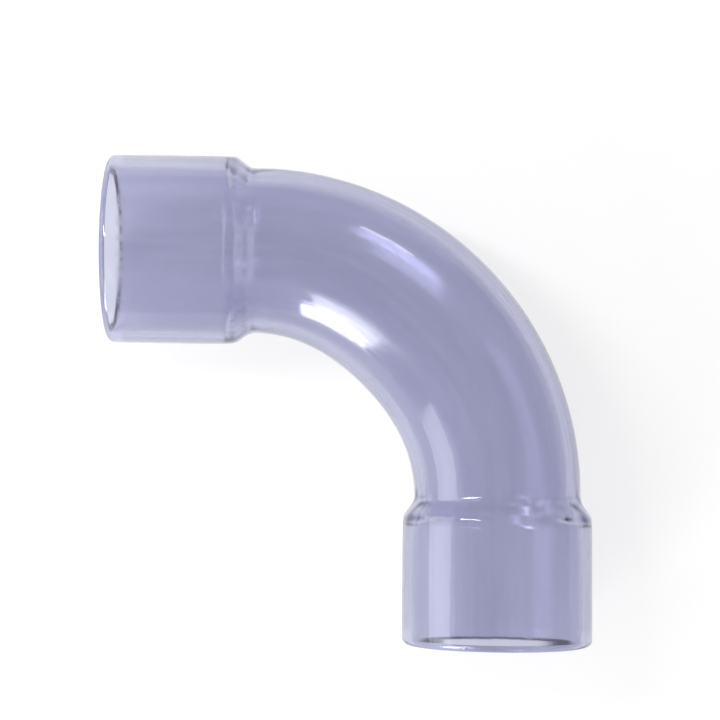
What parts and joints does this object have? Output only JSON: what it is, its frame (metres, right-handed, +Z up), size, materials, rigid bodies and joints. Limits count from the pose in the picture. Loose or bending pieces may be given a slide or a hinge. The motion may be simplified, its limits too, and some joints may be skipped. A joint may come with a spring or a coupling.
{
  "type": "pvc elbow",
  "caption": "Clear PVC long-radius right-angle pipe elbow with a belled solvent-weld socket at each end, for turning a pipe run through a smooth bend.",
  "frame": {"origin": "under the middle of the elbow's bounding box, at the level of the lowest lines of its two sockets, which it lies on", "axes": "+Z up, square to the plane of the bend; leg A's socket opens towards -X and leg B's socket towards -Y"},
  "size_m": [0.141, 0.141, 0.0548],
  "materials": {
    "clear_pvc": "glossy, see-through, with a faint lavender-blue tint"
  },
  "bodies": {
    "root": {"elbow": "clear_pvc"}
  },
  "joints": []
}
